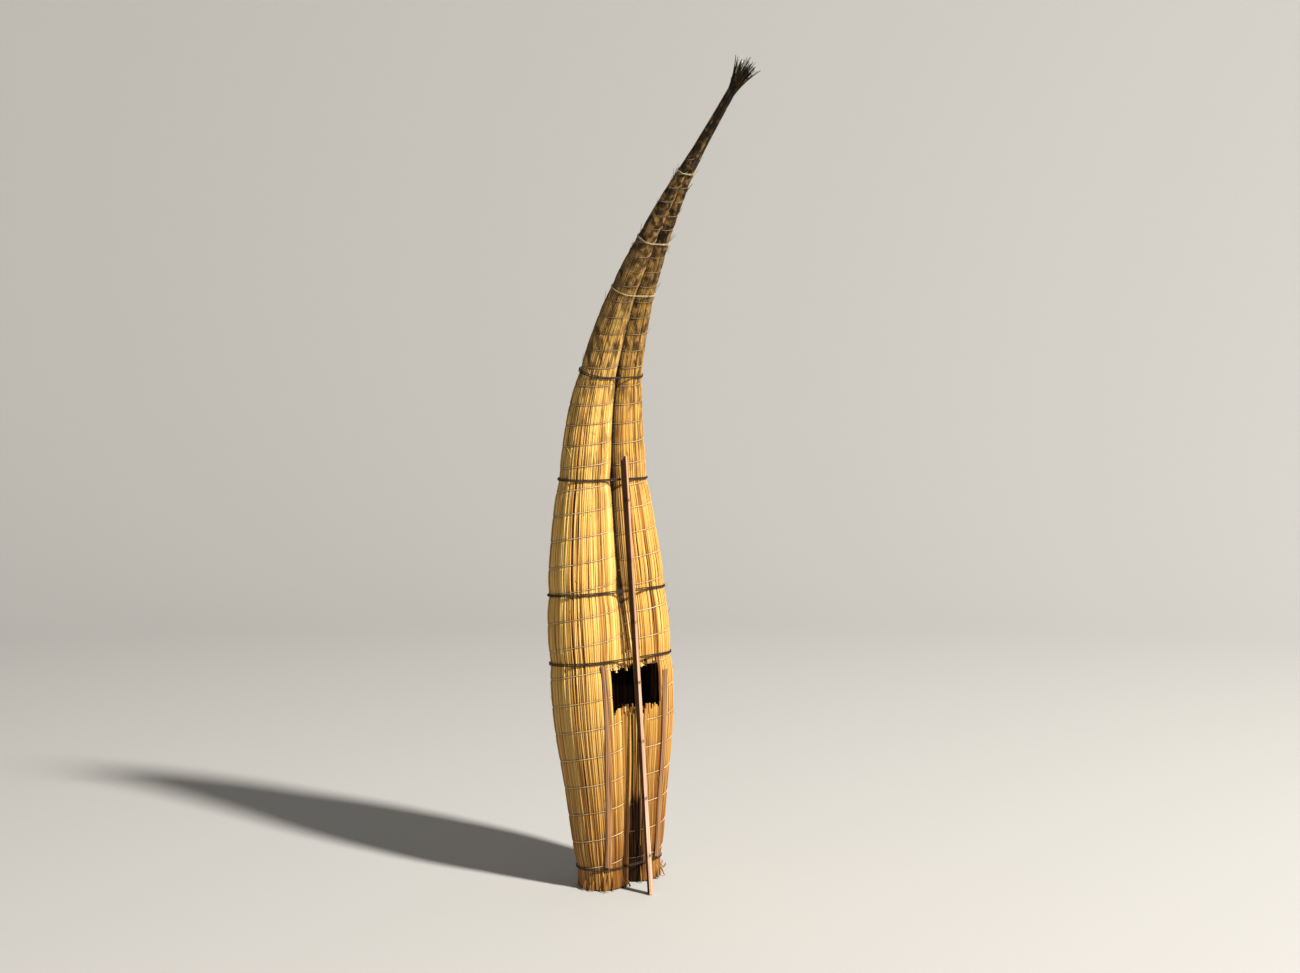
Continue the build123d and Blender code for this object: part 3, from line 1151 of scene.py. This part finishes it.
class Graph:
    """Node material with short ways to add its nodes. Inputs are numbers, colours or other nodes' outputs."""

    def __init__(self, name):
        self.material = bpy.data.materials.new(name)
        self.material.use_nodes = True
        self.nodes = self.material.node_tree.nodes
        self.links = self.material.node_tree.links
        self.shader = next(n for n in self.nodes if n.type == "BSDF_PRINCIPLED")

    def put(self, value, target):
        """Sets or links an input."""
        if isinstance(value, bpy.types.NodeSocket):
            self.links.new(value, target)
        else:
            target.default_value = (*value, 1.0) if target.type == "RGBA" else value

    def add(self, kind, output, **inputs):
        """Adds a node and gives one of its outputs."""
        made = self.nodes.new("ShaderNode" + kind)
        for name, value in inputs.items():
            self.put(value, made.inputs[name.replace("_", " ")])
        return made.outputs[output]

    def attribute(self, name):
        """A value stored on the points."""
        made = self.nodes.new("ShaderNodeAttribute")
        made.attribute_name = name
        return made.outputs["Fac"]

    def maths(self, operation, a, b, c=0.0):
        """One sum."""
        made = self.nodes.new("ShaderNodeMath")
        made.operation = operation
        for value, target in zip((a, b, c), made.inputs):
            self.put(value, target)
        return made.outputs[0]

    def times(self, a, b):
        """Product of a and b."""
        return self.maths("MULTIPLY", a, b)

    def times_add(self, a, b, c):
        """Product of a and b, and c added."""
        return self.maths("MULTIPLY_ADD", a, b, c)

    def span(self, value, low, high, bottom, top):
        """Value moved from one range to another."""
        ends = {"From_Min": low, "From_Max": high, "To_Min": bottom, "To_Max": top}
        return self.add("MapRange", "Result", Value=value, **ends)

    def pair(self, x, y):
        """Coordinate made of two values."""
        return self.add("CombineXYZ", 0, X=x, Y=y)

    def spot(self, *scale):
        """Place on the object, stretched by a scale for each axis."""
        where = self.add("TexCoord", "Object")
        return self.add("Mapping", 0, Vector=where, Scale=scale) if scale else where

    def noise(self, vector, scale, detail):
        """Noise value at a coordinate."""
        return self.add("TexNoise", "Fac", Vector=vector, Scale=scale, Detail=detail)

    def ramp(self, value, stops):
        """Colour of a value on a ramp."""
        made = self.nodes.new("ShaderNodeValToRGB")
        elements = made.color_ramp.elements
        while len(elements) < len(stops):
            elements.new(0.5)
        for element, (at, colour) in zip(elements, stops):
            element.position = at
            element.color = (*colour, 1.0)
        self.put(value, made.inputs["Fac"])
        return made.outputs["Color"]

    def mix(self, factor, a, b, blend="MIX"):
        """Blend of two colours."""
        made = self.nodes.new("ShaderNodeMix")
        made.data_type = "RGBA"
        made.blend_type = blend
        inputs = {(s.name, s.type): s for s in made.inputs}
        self.put(factor, inputs["Factor", "VALUE"])
        self.put(a, inputs["A", "RGBA"])
        self.put(b, inputs["B", "RGBA"])
        return next(s for s in made.outputs if s.type == "RGBA")

    def finish(self, colour, rough):
        """Gives the shader its colour and roughness."""
        self.put(colour, self.shader.inputs["Base Color"])
        self.put(rough, self.shader.inputs["Roughness"])
        return self.material


def add_patches(graph, colour, run):
    """Blotches over several reeds, and short dark patches that come more often towards the bow."""
    blotch = graph.noise(graph.spot(5.0, 5.0, 1.1), 1.0, 4.0)
    colour = graph.mix(graph.span(blotch, 0.54, 0.74, 0.0, 0.45), colour, BLOTCH)
    patch = graph.noise(graph.spot(34.0, 34.0, 9.0), 1.0, 3.0)
    patch = graph.times(graph.span(patch, 0.49, 0.60, 0.0, 1.0), graph.span(run, 1.70, 2.60, 0.04, 0.92))
    return graph.mix(patch, colour, PATCH)


def add_stain(graph, colour, run, streak, grain):
    """Red-brown stain at the stern, darker still at the foot. Part of the stain is painted shade on the lower
    hull, which curves in and faces down.
    """
    stain_and_shade = graph.span(run, 1.20, 0.25, 0.0, 0.92)
    colour = graph.mix(graph.times(stain_and_shade, graph.span(streak, 0.39, 0.54, 0.02, 1.0)), colour, STAIN_AND_UNDERCUT_SHADE)
    wet = graph.span(run, 0.26, 0.03, 0.0, 0.48)
    return graph.mix(graph.times(wet, graph.span(grain, 0.36, 0.62, 0.15, 1.0)), colour, WET)


def add_weather(graph, colour, run, tone, streak, grain, age):
    """Weathering that rises with height, mottled, and darkest on the neck."""
    where = graph.span(run, 2.30, 3.20, 0.0, age)
    patchy = graph.times(where, graph.times_add(streak, 1.1, 0.55))
    mottle = graph.times_add(graph.noise(graph.spot(42.0, 42.0, 24.0), 1.0, 3.0), 1.7, -0.60)
    mottle = graph.maths("ADD", mottle, graph.span(run, 3.30, 3.75, 0.0, -0.19))
    mottle = graph.times_add(grain, 0.38, mottle)
    return graph.mix(patchy, colour, graph.ramp(graph.times_add(tone, 0.22, mottle), OLD_STOPS))


def reed_material(name, stops, age, lift=0.0, shine=0.20):
    """Dry reeds: a colour per reed, streaks along it, darker towards the bow."""
    graph = Graph(name)
    tone = graph.attribute("tone")
    run = graph.attribute("run")
    across = graph.attribute("across")
    streak_spot = graph.pair(graph.times_add(tone, 173.0, graph.times(across, 0.8)), run)
    streak = graph.noise(streak_spot, 2.1, 4.0)
    grain_spot = graph.pair(graph.times_add(tone, 331.0, graph.times(across, 5.0)), graph.times(run, 7.0))
    grain = graph.noise(grain_spot, 1.0, 3.0)
    value = graph.times_add(tone, 0.62, -0.30 + lift)
    value = graph.times_add(streak, 0.80, value)
    value = graph.times_add(grain, 0.24, value)
    colour = graph.ramp(value, stops)
    colour = add_patches(graph, colour, run)
    colour = add_stain(graph, colour, run, streak, grain)
    # Painted shade in the crease where the twine draws the reeds in
    colour = graph.mix(graph.times(graph.attribute("pinch"), 0.42), colour, PINCH_SHADE)
    colour = add_weather(graph, colour, run, tone, streak, grain, age)
    # Dirt and painted shade in the grooves
    colour = graph.mix(graph.times(graph.attribute("depth"), 0.98), colour, GROOVE_DIRT_AND_SHADE, "MULTIPLY")
    graph.put(shine, graph.shader.inputs["Specular IOR Level"])
    relief = graph.add("Bump", "Normal", Strength=0.35, Distance=0.0015, Height=grain)
    graph.put(relief, graph.shader.inputs["Normal"])
    return graph.finish(colour, 0.50)


def plain_material(name, colour, rough):
    """One colour with a little grain."""
    graph = Graph(name)
    grain = graph.noise(graph.spot(), 90.0, 3.0)
    dark = tuple(c * 0.65 for c in colour)
    light = tuple(min(1.0, c * 1.35) for c in colour)
    return graph.finish(graph.ramp(grain, [(0.3, dark), (0.7, light)]), rough)


def twine_material():
    """Pale thin twine that greys towards the bow, with painted shade on it in the grooves."""
    graph = Graph("twine")
    colour = graph.ramp(graph.noise(graph.spot(), 14.0, 3.0), TWINE_STOPS)
    old = graph.span(graph.attribute("run"), 1.9, 2.7, 0.0, 0.85)
    colour = graph.mix(old, colour, OLD_TWINE)
    colour = graph.mix(graph.attribute("depth"), colour, TWINE_GROOVE_SHADE, "MULTIPLY")
    return graph.finish(colour, 0.8)


def cane_material(name, dark, light, rough, low=0.32, high=0.62, fade=0.0):
    """Cane with long grain, browner towards its top, with dark scars at its nodes."""
    graph = Graph(name)
    run = graph.attribute("run")
    spot = graph.pair(graph.times(graph.attribute("across"), 7.0), graph.times(run, 2.5))
    colour = graph.ramp(graph.noise(spot, 1.0, 5.0), [(low, dark), (high, light)])
    colour = graph.mix(graph.span(run, 0.25, 1.30, fade * 0.4, fade), colour, CANE_FADE, "MULTIPLY")
    # The scars don't go all the way round
    part = graph.span(graph.noise(spot, 0.9, 0.0), 0.36, 0.58, 0.35, 1.0)
    colour = graph.mix(graph.times(graph.attribute("pinch"), part), colour, SCAR)
    return graph.finish(colour, rough)


reed = reed_material("reed_main", REED_STOPS, AGE)
# The left bundle's reeds are a little lighter and the right's a little darker: painted light and shade
# against how the key light falls on them
left_reed_painted_light = reed_material("reed_left_painted_light", REED_STOPS, AGE, 0.03)
right_reed_painted_shade = reed_material("reed_right_painted_shade", REED_STOPS, AGE, -0.07)
upper_reed = reed_material("reed_upper", REED_STOPS, AGE, 0.03)
pit_shade_reed = reed_material("reed_pit_shade", PIT_SHADE_STOPS, 0.0, shine=0.05)
tuft_reed = reed_material("reed_tuft", TUFT_STOPS, 0.0)
# Dark body under the reeds: painted shade in the gaps between them
under = plain_material("reed_under_shade", (0.045, 0.020, 0.007), 0.9)
dark_cord = plain_material("dark_cord", (0.024, 0.011, 0.005), 0.85)
pale_cord = plain_material("pale_cord", (0.40, 0.34, 0.22), 0.8)
twine_look = twine_material()
cane_skin = cane_material("cane_skin", (0.37, 0.20, 0.125), (0.68, 0.46, 0.34), 0.45, fade=1.0)
cane_inside = cane_material("cane_inside", (0.06, 0.025, 0.010), (0.16, 0.075, 0.030), 0.8)
cane_edge = cane_material("cane_edge", (0.26, 0.13, 0.065), (0.42, 0.24, 0.13), 0.7, fade=0.8)
cane_strip = cane_material("cane_strip", (0.075, 0.030, 0.014), (0.35, 0.17, 0.065), 0.6, 0.40, 0.58)

# The boat
make_madre(-1, "madre_left", [left_reed_painted_light, under])
make_madre(1, "madre_right", [right_reed_painted_shade, under])
make_hijo(-1, "hijo_left", [upper_reed, under], 21)
make_hijo(1, "hijo_right", [upper_reed, under], 22)
make_filler(FILLER_LEFT, -1, "stern_filler_left", [upper_reed], 23)
make_filler(FILLER_RIGHT, 1, "stern_filler_right", [upper_reed], 24)
make_cockpit([pit_shade_reed])
make_neck([reed, under])
make_tuft([tuft_reed])
make_loose([reed])
make_twine([twine_look])
make_lashings([dark_cord])
make_ties([pale_cord])
make_batten(BATTEN_LEFT, "batten_left", [cane_strip], 61)
make_batten(BATTEN_RIGHT, "batten_right", [cane_strip], 62)
make_paddle([cane_skin, cane_inside, cane_edge])


# Stage: backdrop, lights and camera

away = math.radians(CAMERA_SIDE)
to_camera = Vector((-math.sin(away), -math.cos(away), 0))
camera_right = Vector((math.cos(away), -math.sin(away), 0))


def make_backdrop():
    """Pale floor that curves up into a wall all round, its middle on the camera's side."""
    sides = 96
    steps = 24
    middle = to_camera * BOWL_SHIFT
    profile = [(BOWL_INNER, 0.0), (BOWL_FLOOR, 0.0)]
    for i in range(1, steps + 1):
        a = math.pi / 2 * i / steps
        profile.append((BOWL_FLOOR + BOWL_CURVE * math.sin(a), BOWL_CURVE - BOWL_CURVE * math.cos(a)))
    profile.append((BOWL_FLOOR + BOWL_CURVE, BOWL_TOP))
    points = [tuple(middle)]
    for out, high in profile:
        for k in range(sides):
            a = TURN * k / sides
            points.append((middle.x + out * math.cos(a), middle.y + out * math.sin(a), high))
    faces = [(0, 1 + k, 1 + (k + 1) % sides) for k in range(sides)]
    for i in range(len(profile) - 1):
        for k in range(sides):
            a = 1 + i * sides + k
            b = 1 + i * sides + (k + 1) % sides
            faces.append((a, a + sides, b + sides, b))
    mesh = bpy.data.meshes.new("backdrop")
    mesh.from_pydata(points, [], faces)
    mesh.polygons.foreach_set("use_smooth", [True] * len(mesh.polygons))
    mesh.materials.append(Graph("backdrop").finish(BOWL_COLOUR, 0.95))
    made = add_to_scene("backdrop", mesh)


def aim(made, where, direction):
    """Puts an object somewhere and turns it along a direction."""
    made.location = where
    made.rotation_mode = "QUATERNION"
    made.rotation_quaternion = direction.to_track_quat("-Z", "Y")


def area_light(name, where, height, size, power, colour):
    """Soft round light that points at the boat at a height."""
    data = bpy.data.lights.new(name, "AREA")
    data.shape = "DISK"
    data.size = size
    data.energy = power
    data.color = colour
    aim(add_to_scene(name, data), where, Vector((0, 0, height)) - where)


make_backdrop()
world = bpy.data.worlds.new("world")
bpy.context.scene.world = world
world.use_nodes = True
world_light = world.node_tree.nodes["Background"].inputs
world_light["Color"].default_value = (1.0, 0.96, 0.90, 1.0)
world_light["Strength"].default_value = WORLD_STRENGTH

key_spot = to_camera * 12.0 + camera_right * 16.6 + Vector((0, 0, 19.0))
area_light("key", key_spot, 1.6, 2.4, KEY_POWER, (1.0, 0.94, 0.84))
fill_spot = to_camera * 6.0 - camera_right * 5.0 + Vector((0, 0, 4.0))
area_light("fill", fill_spot, 1.7, 4.0, FILL_POWER, (1.0, 0.95, 0.88))

camera_data = bpy.data.cameras.new("camera")
camera = add_to_scene("camera", camera_data)
bpy.context.scene.camera = camera
camera_data.lens = LENS
camera_data.sensor_width = 36
camera_data.shift_y = SHIFT_Y
camera_data.clip_end = 200
camera_spot = camera_right * AIM_RIGHT + to_camera * CAMERA_DISTANCE + Vector((0, 0, CAMERA_HEIGHT))
aim(camera, camera_spot, -to_camera)

view = bpy.context.scene.view_settings
view.view_transform = "Standard"
view.look = "None"
view.exposure = 0.0
